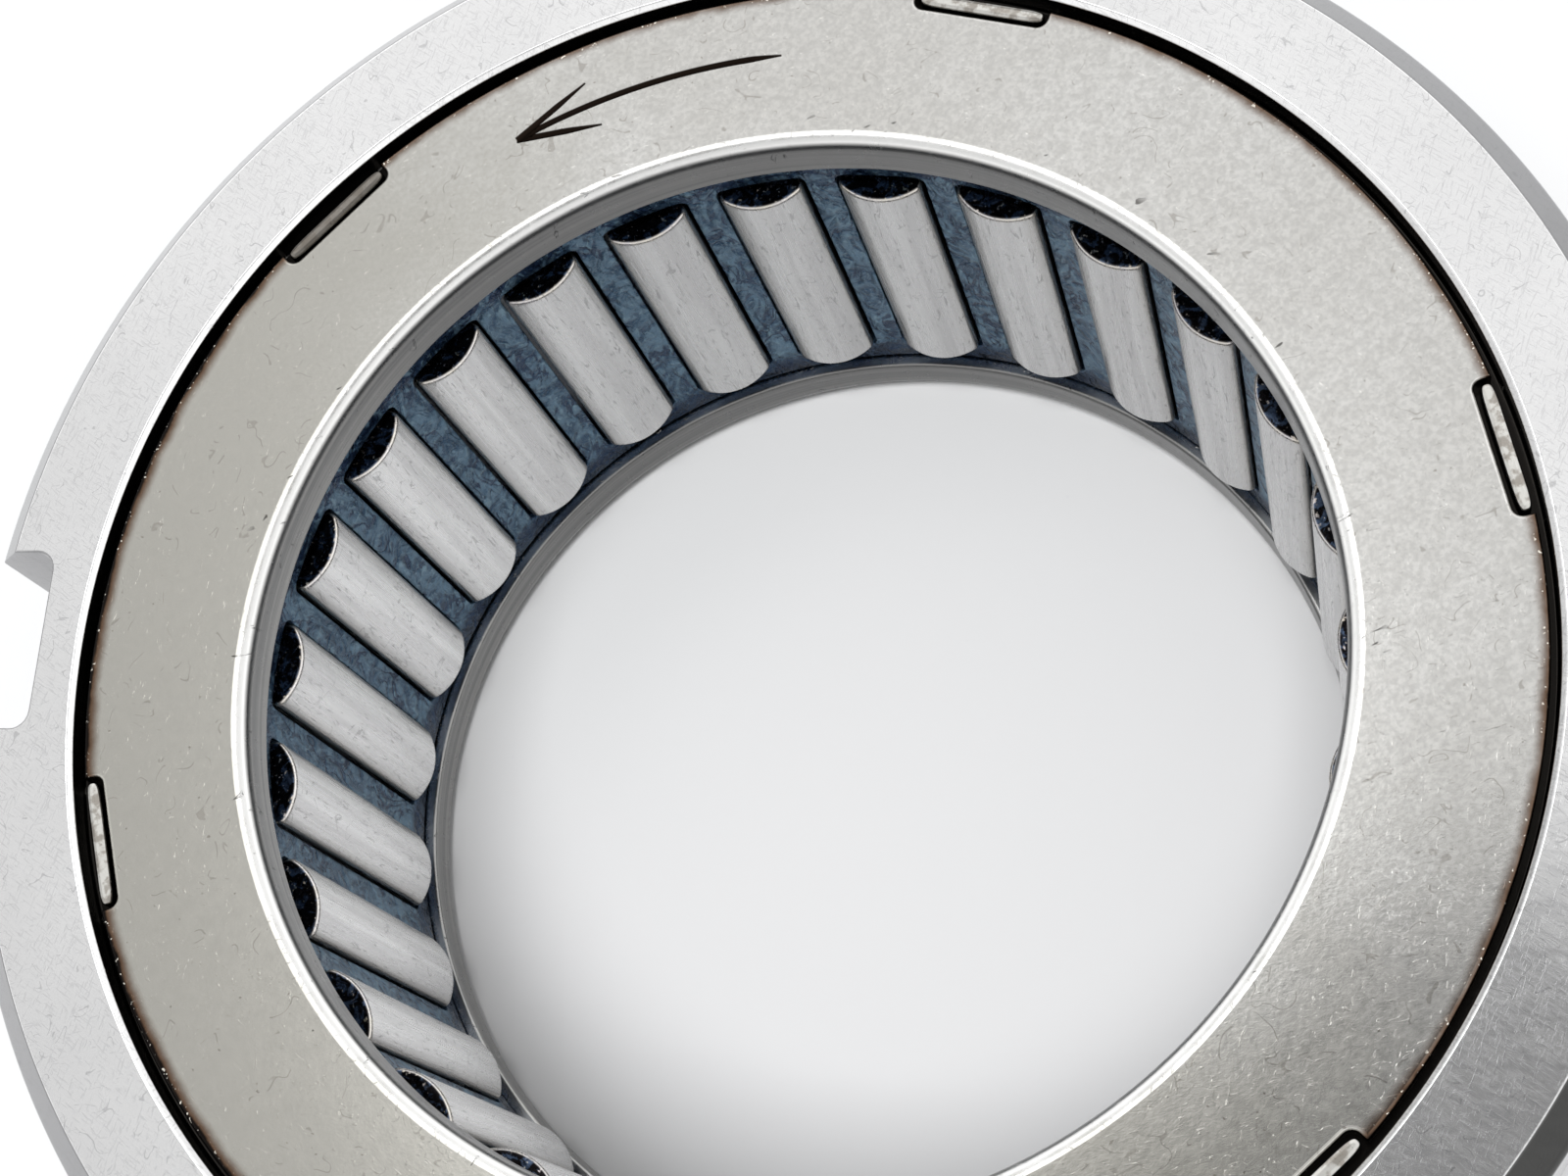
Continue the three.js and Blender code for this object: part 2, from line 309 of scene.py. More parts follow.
def make_race():
    """The turned ring with its keyways cut, and the stakes standing in both seats."""
    face, edge = HALF_WIDTH, HALF_WIDTH - CHAMFER
    rim, seat = OUTER_RADIUS - CHAMFER, SEAT_RADIUS + SEAT_CHAMFER
    upper = [
        (OUTER_RADIUS, edge, 0.3), (rim, face, 0.12), (seat, face, 0.06),
        (SEAT_RADIUS, face - SEAT_CHAMFER, 0.06), (SEAT_RADIUS, SHOULDER, 0.15),
        (TRACK_RADIUS, SHOULDER, 0.12),
    ]
    lower = [(r, -z, size) for r, z, size in reversed(upper)]
    race = make_object("race_ring", mesh_from("race_ring", *turned(rounded(upper + lower))))
    lip = [(face - down, grow) for down, grow in KEYWAY_LIP]
    levels = lip + [(-z, grow) for z, grow in reversed(lip)]
    cut(race, notch_cutters(KEYWAY, OUTER_RADIUS + 2, levels))
    points = [v.co / MM for v in race.data.vertices]
    faces = [tuple(p.vertices) for p in race.data.polygons]
    bpy.data.objects.remove(race)
    for i in range(RIM_NOTCH["count"]):
        for side in (1, -1):
            angle = RIM_NOTCH["first"] + i * 360.0 / RIM_NOTCH["count"]
            more, skins = stake_skin(angle, side, len(points))
            points += more
            faces += skins
    return make_object("race_body", mesh_from("race_body", points, faces))


def make_plate(name, side):
    """A pressed ring with rim notches and a rolled-in flange. Side 1 is the front, with the arrow."""
    flange_outer = FLANGE_RADIUS + PLATE_THICKNESS
    profile = rounded([
        (PLATE_RADIUS, SHOULDER, 0.1), (PLATE_RADIUS, PLATE_FACE, 0.3),
        (FLANGE_RADIUS, PLATE_FACE, 0.85), (FLANGE_RADIUS, FLANGE_END, 0.25),
        (flange_outer, FLANGE_END, 0.25), (flange_outer, SHOULDER, 0.4),
    ], steps=10, hold=1.25)
    levels = [(PLATE_FACE - down, grow) for down, grow in RIM_NOTCH_LIP]
    levels.append((SHOULDER - 1.0, 0.0))
    if side < 0:
        profile = [Vector((r, -z)) for r, z in reversed(profile)]
        levels = [(-z, grow) for z, grow in levels]
    plate = make_object(name, mesh_from(name, *turned(profile)))
    cutters = notch_cutters(RIM_NOTCH, PLATE_RADIUS + 2, levels)
    cut(plate, cutters + arrow_cutters() if side > 0 else cutters)
    return plate


def stroke(route):
    """A closed cutter for one engraved stroke. The route is (point, how wide and deep) pairs."""
    section = [(0.75, 0.3), (0.5, 0.0), (0.22, -0.8), (0.0, -1.0), (-0.22, -0.8), (-0.5, 0.0), (-0.75, 0.3)]
    loops = []
    for i, (here, size) in enumerate(route):
        ahead = route[min(i + 1, len(route) - 1)][0] - route[max(i - 1, 0)][0]
        across = Vector((-ahead.y, ahead.x, 0)).normalized()
        loops.append([here + across * STROKE_WIDTH * size * v + Vector((0, 0, STROKE_DEPTH * size * w))
                      for v, w in section])
    return closed_form("stroke", *loft(loops, closed=False, caps=True))


def arrow_cutters():
    """The curved shaft and the two straight barbs."""
    shaft = []
    for s in range(SHAFT_STEPS + 1):
        t = s / SHAFT_STEPS
        angle = ARROW_TAIL + (ARROW_TIP - ARROW_TAIL) * t
        shaft.append((clock(angle, ARROW_RADIUS, PLATE_FACE), min(1.0, 0.35 + 6 * t)))
    cutters = [stroke(shaft)]
    tip = clock(ARROW_TIP, ARROW_RADIUS, PLATE_FACE)
    back = (clock(ARROW_TIP - 8, ARROW_RADIUS, PLATE_FACE) - tip).normalized()
    for spread in (BARB_SPREAD, -BARB_SPREAD):
        way = Matrix.Rotation(math.radians(spread), 3, "Z") @ back
        barb = []
        for s in range(BARB_STEPS + 1):
            size = min(1.0, 0.35 + 1.6 * (1 - s / BARB_STEPS))
            barb.append((tip + way * BARB_LENGTH * s / BARB_STEPS, size))
        cutters.append(stroke(barb))
    return cutters


# ---------------------------------------------------------------- cages, spring and cams

def window_cell(half_width, half_length, corner, half_pitch, half_height):
    """Paired outlines of one window and of the cell round it, as (along, z)."""
    window, cell = [], []
    straight_z, straight_x, arc = 9, 7, 6       # points on half a side, on half an end, round a corner
    x_in, z_in = half_width - corner, half_length - corner
    cell_z = half_height * z_in / half_length
    cell_x = half_pitch * x_in / half_width
    for sx, sz in ((1, 1), (-1, 1), (-1, -1), (1, -1)):
        rising = sx == sz
        side = [((half_width, z_in * t), (half_pitch, cell_z * t))
                for t in (s / (straight_z - 1) for s in range(straight_z))]
        bend = []
        for s in range(1, arc):
            turn = math.radians(90 * s / arc)
            p = (x_in + corner * math.cos(turn), z_in + corner * math.sin(turn))
            if s <= arc / 2:
                q = (half_pitch, cell_z + (half_height - cell_z) * s / (arc / 2))
            else:
                q = (half_pitch + (cell_x - half_pitch) * (s - arc / 2) / (arc / 2), half_height)
            bend.append((p, q))
        top = [((x_in * (1 - t), half_length), (cell_x * (1 - t), half_height))
               for t in (s / (straight_x - 1) for s in range(straight_x - 1))]
        quarter = side + bend + top
        if not rising:
            quarter.reverse()
        if quarter[0][0][1] == 0 and window:
            quarter = quarter[1:]
        for p, q in quarter:
            window.append((sx * p[0], sz * p[1]))
            cell.append((sx * q[0], sz * q[1]))
    return window, cell


def make_windowed_ring(name, ring, first):
    """A ring with one round-cornered window for each cam, all its edges softened."""
    inner, thickness, half_height = ring["radius"], ring["thickness"], ring["half"]
    outer, middle = inner + thickness, inner + thickness / 2
    soft = min(0.08, thickness * 0.3)
    pitch = 360.0 / CAM_COUNT
    half_pitch = math.pi * middle / CAM_COUNT
    layers = [(outer, None), (outer, 1.8 * soft), (outer, soft), (outer - 0.3 * soft, 0.3 * soft),
              (outer - soft, 0), (inner + soft, 0), (inner + 0.3 * soft, 0.3 * soft), (inner, soft),
              (inner, 1.8 * soft), (inner, None)]
    points, faces = [], []
    for i in range(CAM_COUNT):
        centre = first + i * pitch
        loops = []
        for radius, grow in layers:
            grown = grow or 0.0
            window, cell = window_cell(ring["window"] + grown, WINDOW_HALF + grown, WINDOW_CORNER + grown,
                                       half_pitch, half_height - soft)
            outline = cell if grow is None else window
            loops.append([clock(centre + math.degrees(x / middle), radius, z) for x, z in outline])
        more, skins = loft(loops, closed=False, start=len(points))
        points += more
        faces += skins
    top = [x for x, z in cell if z > half_height - 1.01 * soft]
    angles = sorted({round(math.degrees(x / middle), 6) for x in top})[:-1]
    lips = [(outer, soft), (outer - 0.3 * soft, 0.3 * soft), (outer - soft, 0),
            (inner + soft, 0), (inner + 0.3 * soft, 0.3 * soft), (inner, soft)]
    for side in (1, -1):
        rows = lips if side > 0 else list(reversed(lips))
        loops = [[clock(first + i * pitch + a, r, side * (half_height - down))
                  for i in range(CAM_COUNT) for a in angles] for r, down in rows]
        more, skins = loft(loops, closed=False, start=len(points))
        points += more
        faces += skins
    return make_object(name, mesh_from(name, points, faces, weld=True))


def arc_points(centre, radius, start, end, steps):
    turns = [math.radians(start + (end - start) * s / steps) for s in range(steps + 1)]
    return [centre + radius * Vector((math.cos(t), math.sin(t))) for t in turns]


def cam_outline(inset):
    """Cam section about its pivot, X away from the clutch's axis: a round lobe, a broad face."""
    sweep = CAM_LOBE["sweep"]
    lobe_centre = Vector((CAM_LOBE["centre"] - CAM_PIVOT, -CAM_OFFSET))
    lobe = arc_points(lobe_centre, CAM_LOBE["radius"] - inset, -sweep, sweep, 36)

    face_centre = Vector((CAM_FACE["centre"] - CAM_PIVOT, CAM_OFFSET))
    reach = CAM_FACE["radius"] - CAM_FACE["corner"]
    spread = math.degrees(math.asin((CAM_FACE["half"] - CAM_FACE["corner"]) / reach))
    round_off = CAM_FACE["corner"] - inset
    high, low = (arc_points(face_centre, reach, a, a, 1)[0] for a in (180 - spread, 180 + spread))
    face = arc_points(high, round_off, 60, 180 - spread, 8)
    face += arc_points(face_centre, CAM_FACE["radius"] - inset, 180 - spread, 180 + spread, 24)[1:-1]
    face += arc_points(low, round_off, 180 + spread, 300, 8)

    def waist(a, b, side):
        knee = Vector((CAM_WAIST["radius"] - CAM_PIVOT,
                       CAM_WAIST["shift"] + side * (CAM_WAIST["half"] - inset)))
        return [a * (1 - t) ** 2 + knee * 2 * t * (1 - t) + b * t * t for t in (s / 10 for s in range(1, 10))]

    return lobe + waist(lobe[-1], face[0], 1) + face + waist(face[-1], lobe[0], -1)


def make_cam(index):
    angle = CAM_FIRST + index * 360.0 / CAM_COUNT
    turn = Matrix.Rotation(math.radians(angle), 3, "Z")
    levels = [(CAM_HALF_LENGTH - down, inset) for down, inset in CAM_END_ROUND]
    levels = [(-z, inset) for z, inset in reversed(levels)] + levels
    loops = []
    for z, inset in levels:
        loops.append([turn @ Vector((CAM_PIVOT + p.x, p.y, z)) for p in cam_outline(inset)])
    points, faces = loft(loops, closed=False, caps=True)
    name = f"cam_body_{index + 1:02d}"
    return make_object(name, mesh_from(name, points, faces))


# ---------------------------------------------------------------- material helpers

class Nodes:
    """Short ways to add and join the nodes of one tree."""

    def __init__(self, tree):
        self.tree = tree
        self.place = self.add("ShaderNodeTexCoord").outputs["Object"]

    def add(self, kind, values=None, **settings):
        node = self.tree.nodes.new(kind)
        for name, value in settings.items():
            setattr(node, name, value)
        for socket, value in (values or {}).items():
            if isinstance(value, bpy.types.NodeSocket):
                self.tree.links.new(value, node.inputs[socket])
            else:
                node.inputs[socket].default_value = value
        return node

    def math(self, operation, a, b=0.0, clamp=False):
        node = self.add("ShaderNodeMath", {0: a, 1: b}, operation=operation, use_clamp=clamp)
        return node.outputs[0]

    def stretch(self, scale, turn=0.0):
        spun = self.add("ShaderNodeVectorRotate", {"Vector": self.place, "Angle": math.radians(turn)})
        sized = self.add("ShaderNodeVectorMath", {0: spun.outputs[0], 1: scale}, operation="MULTIPLY")
        return sized.outputs[0]

    def noise(self, vector, scale=1.0, detail=4.0, rough=0.55, twist=0.0):
        values = {"Vector": vector, "Scale": scale, "Detail": detail, "Roughness": rough, "Distortion": twist}
        return self.add("ShaderNodeTexNoise", values).outputs["Fac"]

    def range(self, value, low, high, to_low=0.0, to_high=1.0):
        values = {"Value": value, "From Min": low, "From Max": high, "To Min": to_low, "To Max": to_high}
        return self.add("ShaderNodeMapRange", values, interpolation_type="SMOOTHSTEP").outputs["Result"]

    def mix(self, amount, a, b, blend="MIX"):
        node = self.add("ShaderNodeMix", data_type="RGBA", blend_type=blend)
        for socket, value in ((0, amount), (6, a), (7, b)):
            if isinstance(value, bpy.types.NodeSocket):
                self.tree.links.new(value, node.inputs[socket])
            else:
                node.inputs[socket].default_value = (*value, 1.0) if socket else value
        return node.outputs[2]

    def axis(self, name):
        return self.add("ShaderNodeSeparateXYZ", {0: self.place}).outputs[name]


class Shader(Nodes):
    """A metal or table material, with the places on the clutch that its wear, dirt and painted light depend
    on.
    """

    def __init__(self, name, metallic):
        self.material = bpy.data.materials.new(name)
        self.material.use_nodes = True
        super().__init__(self.material.node_tree)
        self.surface = self.tree.nodes["Principled BSDF"]
        self.surface.inputs["Metallic"].default_value = metallic

    def radius(self):
        flat = self.add("ShaderNodeVectorMath", {0: self.place, 1: (1.0, 1.0, 0.0)}, operation="MULTIPLY")
        return self.add("ShaderNodeVectorMath", {0: flat.outputs[0]}, operation="LENGTH").outputs["Value"]

    def height(self):
        return self.math("ABSOLUTE", self.axis("Z"))

    def facing_up(self):
        normal = self.add("ShaderNodeNewGeometry").outputs["Normal"]
        return self.math("ABSOLUTE", self.add("ShaderNodeSeparateXYZ", {0: normal}).outputs["Z"])

    def scratches(self, turn, fine, long, edge):
        """Thin straight marks in one direction: 1 on a mark, 0 between marks."""
        lines = self.noise(self.stretch((long, fine, long), turn), 1.0, 2.0, 0.5)
        return self.range(lines, edge, edge + 0.05)

    def hairs(self, scale, rarity):
        """Sparse short curly lines: 1 on a line, 0 elsewhere."""
        field = self.noise(self.place, scale, 1.0, 0.5, 0.8)
        line = self.range(self.math("ABSOLUTE", self.math("SUBTRACT", field, 0.5)), 0.012, 0.004)
        where = self.range(self.noise(self.place, scale * 1.7, 1.0), rarity, rarity + 0.03)
        return self.math("MULTIPLY", line, where)

    def painted_glints(self, low, high):
        """Painted glints: tiny bright dots, as of light on lubricant, in a narrow band of radius."""
        dots = self.range(self.noise(self.place, 5200.0, 1.0), 0.66, 0.72)
        soft = (high - low) * 0.25
        band = self.math("MULTIPLY", self.range(self.radius(), low, low + soft),
                         self.range(self.radius(), high, high - soft))
        return self.math("MULTIPLY", dots, band)

    def bump(self, height, distance, strength=1.0, under=None):
        values = {"Height": height, "Distance": distance, "Strength": strength}
        if under is not None:
            values["Normal"] = under
        return self.add("ShaderNodeBump", values).outputs["Normal"]

    def finish(self, colour, roughness, normal):
        self.tree.links.new(colour, self.surface.inputs["Base Color"])
        self.tree.links.new(roughness, self.surface.inputs["Roughness"])
        self.tree.links.new(normal, self.surface.inputs["Normal"])
        return self.material


def race_outside(s, colour):
    """The race's outer wall is darker, and its chamfer has painted shade towards low Y."""
    outside = s.math("MULTIPLY", s.range(s.facing_up(), 0.97, 0.9), s.range(s.radius(), *RACE_OUTSIDE_RADIUS))
    colour = s.mix(s.math("MULTIPLY", outside, 0.78), colour, (0.20, 0.20, 0.205))
    # Painted shade: the chamfer darkens towards low Y.
    chamfer_shade = s.math("MULTIPLY", outside, s.range(s.height(), *CHAMFER_SHADE_HEIGHT))
    chamfer_shade = s.math("MULTIPLY", chamfer_shade, s.range(s.axis("Y"), *CHAMFER_SHADE_Y, 0.0, 0.85))
    return s.mix(chamfer_shade, colour, (0.035, 0.035, 0.032))


def race_stakes(s, colour, stake):
    """Smeared tops on the stakes, darkest at high Y, and a painted black shadow in the rest of the seat."""
    patches = s.range(s.noise(s.place, 1500.0, 4.0), 0.45, 0.6)
    smeared = s.mix(patches, (0.68, 0.67, 0.63), (0.34, 0.31, 0.27))
    # The stakes are darker towards high Y.
    smeared = s.mix(s.range(s.axis("Y"), *STAKE_DARK_Y, 0.0, 0.85), smeared, (0.10, 0.08, 0.055))
    colour = s.mix(s.math("MULTIPLY", stake, 0.9), colour, smeared)
    # Painted shadow: inside the seat's edge the race is painted black, except on the stakes.
    seat = s.math("MULTIPLY", s.range(s.radius(), *SEAT_SHADOW_RADIUS), s.range(s.height(), *SEAT_SHADOW_HEIGHT))
    seat = s.math("SUBTRACT", seat, stake, clamp=True)
    return s.mix(seat, colour, (0.012, 0.011, 0.010))


def ground_steel():
    """Bright ground race: grinding marks on the faces, turning lines round the walls."""
    s = Shader("ground_steel", metallic=1.0)
    marks = s.scratches(75, 9500, 1000, 0.60)
    for turn, edge in ((82, 0.62), (148, 0.61), (155, 0.63), (30, 0.66)):
        marks = s.math("MAXIMUM", marks, s.scratches(turn, 9000, 1150, edge))
    grain = s.noise(s.stretch((1400, 7000, 1400), 78), 1.0, 5.0, 0.6)
    cloud = s.noise(s.place, 90.0, 3.0)
    turning = s.noise(s.stretch((60, 60, 9000)), 1.0, 3.0)
    flat = s.range(s.facing_up(), 0.5, 0.9)
    fine = s.add("ShaderNodeMix", {0: flat, 2: turning, 3: grain}, data_type="FLOAT").outputs[0]
    colour = s.mix(s.range(cloud, 0.3, 0.7), (0.82, 0.82, 0.82), (0.87, 0.87, 0.87))
    colour = s.mix(s.math("MULTIPLY", s.range(fine, 0.35, 0.65), 0.3), colour, (0.74, 0.74, 0.75))
    # Smears towards low Y, partly real smears and partly painted shade that darkens the race there.
    smears = s.range(s.noise(s.stretch((420, 1700, 420), 60), 1.0, 4.0, 0.6, 0.8), 0.40, 0.62)
    smears = s.math("MULTIPLY", smears, s.range(s.axis("Y"), *RACE_SMEAR_AND_SHADE_Y, 0.0, 0.2))
    colour = s.mix(smears, colour, (0.40, 0.40, 0.42))
    colour = s.mix(s.math("MULTIPLY", marks, 0.32), colour, (0.50, 0.50, 0.51))
    colour = s.mix(s.math("MULTIPLY", s.hairs(620.0, 0.55), 0.45), colour, (0.38, 0.38, 0.39))
    colour = race_outside(s, colour)
    stake = s.math("MULTIPLY", s.range(s.radius(), *STAKE_RADIUS), s.range(s.height(), *STAKE_HEIGHT))
    colour = race_stakes(s, colour, stake)
    rough = s.math("ADD", s.range(fine, 0.3, 0.7, 0.12, 0.17), s.math("MULTIPLY", marks, 0.02))
    rough = s.math("ADD", rough, s.math("MULTIPLY", stake, 0.15))
    normal = s.bump(fine, 0.000002, 0.3)
    normal = s.bump(marks, 0.000003, 0.2, normal)
    return s.finish(colour, rough, normal)


def plate_sheet(s, mottle, grain, nicks):
    """The pressed sheet: a cloudy, mottled grey, with painted shade that darkens it towards low X."""
    cloud = s.noise(s.place, 60.0, 5.0, 0.6, 0.4)
    specks = s.range(s.noise(s.place, 2400.0, 2.0), 0.72, 0.76)
    colour = s.mix(s.range(cloud, 0.3, 0.7), (0.64, 0.63, 0.605), (0.70, 0.695, 0.675))
    colour = s.mix(s.math("MULTIPLY", s.range(mottle, 0.40, 0.62), 0.5), colour, (0.535, 0.525, 0.505))
    colour = s.mix(s.range(grain, 0.38, 0.62, 0.0, 0.26), colour, (0.36, 0.355, 0.34))
    # Painted shade: the sheet darkens towards low X, along a cloudy edge.
    plate_shade = s.math("ADD", s.axis("X"), s.math("MULTIPLY", s.math("SUBTRACT", cloud, 0.5), 0.03))
    colour = s.mix(s.range(plate_shade, *PLATE_SHADE_X, 0.0, 0.9), colour, (0.455, 0.445, 0.405))
    colour = s.mix(s.math("MULTIPLY", nicks, 0.22), colour, (0.34, 0.32, 0.29))
    colour = s.mix(s.math("MULTIPLY", specks, 0.5), colour, (0.20, 0.17, 0.14))
    return s.mix(s.math("MULTIPLY", s.hairs(480.0, 0.57), 0.5), colour, (0.30, 0.28, 0.25))


def plate_smudge(s, colour):
    """A scuffed bright patch at one place on the face."""
    middle = clock(SMUDGE["angle"], SMUDGE["radius"], PLATE_FACE) * MM
    apart = s.add("ShaderNodeVectorMath", {0: s.place, 1: middle}, operation="DISTANCE").outputs["Value"]
    smudge = s.range(s.noise(s.place, 2300.0, 4.0, 0.65, 0.8), 0.50, 0.66)
    smudge = s.math("MULTIPLY", smudge, s.range(apart, *SMUDGE["reach"], 0.0, 0.5))
    return s.mix(smudge, colour, (0.97, 0.96, 0.94))


def plate_rim(s, colour, radius, wander):
    """Brown dirt, then a black line of lubricant and painted gap shadow, then painted glints along the rim.
    """
    # The bands sit further out towards high X, where the painted gap shadow is narrower.
    edge = s.math("SUBTRACT", s.math("ADD", radius, wander), s.range(s.axis("X"), *RIM_SHIFT_X, 0.0, 0.00024))
    colour = s.mix(s.range(edge, *RIM_DIRT_RADIUS, 0.0, 0.95), colour, (0.12, 0.065, 0.035))
    # Black line: partly lubricant, partly painted shadow of the gap.
    colour = s.mix(s.range(edge, *RIM_OIL_AND_SHADOW_RADIUS), colour, (0.012, 0.010, 0.009))
    # Painted glints along the rim.
    return s.mix(s.painted_glints(*RIM_GLINT_RADIUS), colour, (0.95, 0.90, 0.80))


def plate_flange(s, colour, radius, bend_highlight):
    """A painted highlight on the bend, and below it the flange's dark banded wall, with painted shade towards
    high X.
    """
    bands = s.noise(s.stretch((25, 25, 4200)), 1.0, 4.0, 0.7)
    flange = s.mix(s.range(bands, 0.35, 0.65), (0.17, 0.17, 0.17), (0.31, 0.305, 0.295))
    # Painted shade: the flange darkens towards high X.
    flange = s.mix(s.range(s.axis("X"), *FLANGE_SHADE_X, 0.0, 0.6), flange, (0.07, 0.07, 0.07))
    # Painted highlight on the bend.
    colour = s.mix(bend_highlight, colour, (0.93, 0.93, 0.92))
    inside = s.range(radius, *FLANGE_INSIDE_RADIUS)
    return s.mix(s.math("MULTIPLY", inside, 0.95), colour, flange)


def plate_groove(s, colour, radius):
    """Painted shade below the face between two radii, where the arrow is stamped."""
    groove = s.math("MULTIPLY", s.range(s.height(), *GROOVE_HEIGHT), s.range(radius, *GROOVE_INNER_RADIUS))
    groove = s.math("MULTIPLY", groove, s.range(radius, *GROOVE_OUTER_RADIUS))
    return s.mix(groove, colour, (0.012, 0.008, 0.006))


def plate_steel():
    """Dull pressed sheet with nicks and dents, dirty at the rim, with a painted highlight at the bend and
    painted shade.
    """
    s = Shader("plate_steel", metallic=1.0)
    radius = s.radius()
    mottle = s.noise(s.place, 1300.0, 4.0, 0.6)
    grain = s.noise(s.place, 3600.0, 3.0, 0.6)
    wrinkle = s.noise(s.stretch((2600, 5200, 2600), 35), 1.0, 3.0, 0.6, 0.8)
    nicks = s.scratches(25, 5200, 1300, 0.68)
    for turn, edge in ((75, 0.69), (140, 0.68)):
        nicks = s.math("MAXIMUM", nicks, s.scratches(turn, 4800, 1400, edge))
    colour = plate_smudge(s, plate_sheet(s, mottle, grain, nicks))
    dents = s.range(s.noise(s.stretch((620, 1500, 620), 20), 1.0, 2.0, 0.5, 1.0), 0.70, 0.73)
    dents = s.math("MULTIPLY", dents, s.range(radius, *DENT_RADIUS))
    colour = s.mix(s.math("MULTIPLY", dents, 0.8), colour, (0.06, 0.055, 0.05))
    wander = s.math("MULTIPLY", s.math("SUBTRACT", s.noise(s.place, 500.0, 4.0), 0.5), 0.0006)
    colour = plate_rim(s, colour, radius, wander)
    # Painted highlight: a near-white band round the bend, which is also rougher.
    bend_highlight = s.range(s.math("ADD", radius, wander), *BEND_HIGHLIGHT_RADIUS, 0.0, 0.85)
    colour = plate_groove(s, plate_flange(s, colour, radius, bend_highlight), radius)
    rough = s.math("ADD", s.range(mottle, 0.3, 0.7, 0.15, 0.20), s.math("MULTIPLY", nicks, 0.06))
    rough = s.math("ADD", rough, s.math("MULTIPLY", bend_highlight, 0.14))
    normal = s.bump(wrinkle, 0.000004, 0.5)
    normal = s.bump(mottle, 0.00001, 0.3, normal)
    normal = s.bump(grain, 0.000004, 0.5, normal)
    normal = s.bump(nicks, 0.000008, 0.5, normal)
    normal = s.bump(dents, 0.00008, 0.8, normal)
    return s.finish(colour, rough, normal)


def cam_steel():
    """Brushed faces with painted shade on the flanks; black ends of lubricant and painted shade, with painted
    highlights.
    """
    s = Shader("cam_steel", metallic=1.0)
    radius = s.radius()
    brush = s.noise(s.stretch((5200, 5200, 130)), 1.0, 4.0, 0.6)
    broad = s.noise(s.stretch((900, 900, 40)), 1.0, 3.0)
    rubs = s.range(s.noise(s.stretch((3600, 3600, 520)), 1.0, 3.0, 0.6, 1.5), 0.62, 0.67)
    colour = s.mix(s.range(broad, 0.35, 0.65), (0.66, 0.655, 0.655), (0.80, 0.80, 0.795))
    colour = s.mix(s.math("MULTIPLY", s.range(brush, 0.4, 0.7), 0.15), colour, (0.60, 0.59, 0.58))
    colour = s.mix(s.math("MULTIPLY", rubs, 0.45), colour, (0.34, 0.34, 0.34))
    # Painted shade: the cams darken towards high X.
    colour = s.mix(s.range(s.axis("X"), *CAM_SHADE_X, 0.0, 0.38), colour, (0.26, 0.26, 0.26))
    # Painted shade on the flanks, darker further from the axis than the face.
    depth = s.math("ADD", radius, s.math("MULTIPLY", s.math("SUBTRACT", broad, 0.5), 0.0007))
    colour = s.mix(s.range(depth, *CAM_FLANK_SHADE_RADIUS, 0.0, 0.45), colour, (0.33, 0.31, 0.28))
    colour = s.mix(s.range(depth, *CAM_SHADE_RADIUS, 0.0, 0.85), colour, (0.13, 0.115, 0.10))
    colour = s.mix(s.math("MULTIPLY", s.hairs(600.0, 0.54), 0.5), colour, (0.28, 0.28, 0.28))
    # Painted highlight: a gold and lilac tint round the rounded ends.
    end_highlight = s.range(s.height(), *CAM_END_HIGHLIGHT_HEIGHT)
    highlight_tint = s.mix(s.noise(s.place, 1100.0, 1.0), (0.98, 0.86, 0.52), (0.70, 0.66, 0.84))
    colour = s.mix(s.math("MULTIPLY", end_highlight, 0.35), colour, highlight_tint)
    # End faces: near-black, partly lubricant and partly painted shade, with painted glints and painted navy
    # reflections of the blue cage.
    end_face = s.math("MULTIPLY", s.range(s.facing_up(), 0.80, 0.93), s.range(s.height(), *CAM_END_HEIGHT))
    glints = s.range(s.noise(s.place, 3000.0, 2.0), 0.62, 0.70, 0.0, 0.7)
    navy_reflections = s.range(s.noise(s.place, 1300.0, 3.0, 0.6, 1.0), 0.50, 0.60)
    lubricant_and_shade = s.mix(navy_reflections, (0.010, 0.009, 0.010), (0.07, 0.10, 0.16))
    colour = s.mix(end_face, colour, s.mix(glints, lubricant_and_shade, highlight_tint))
    rough = s.math("ADD", s.range(brush, 0.3, 0.7, 0.22, 0.34), s.math("MULTIPLY", rubs, 0.12))
    normal = s.bump(broad, 0.00012, 0.5)
    normal = s.bump(brush, 0.000010, 0.5, normal)
    normal = s.bump(rubs, 0.00003, 0.5, normal)
    return s.finish(colour, rough, normal)


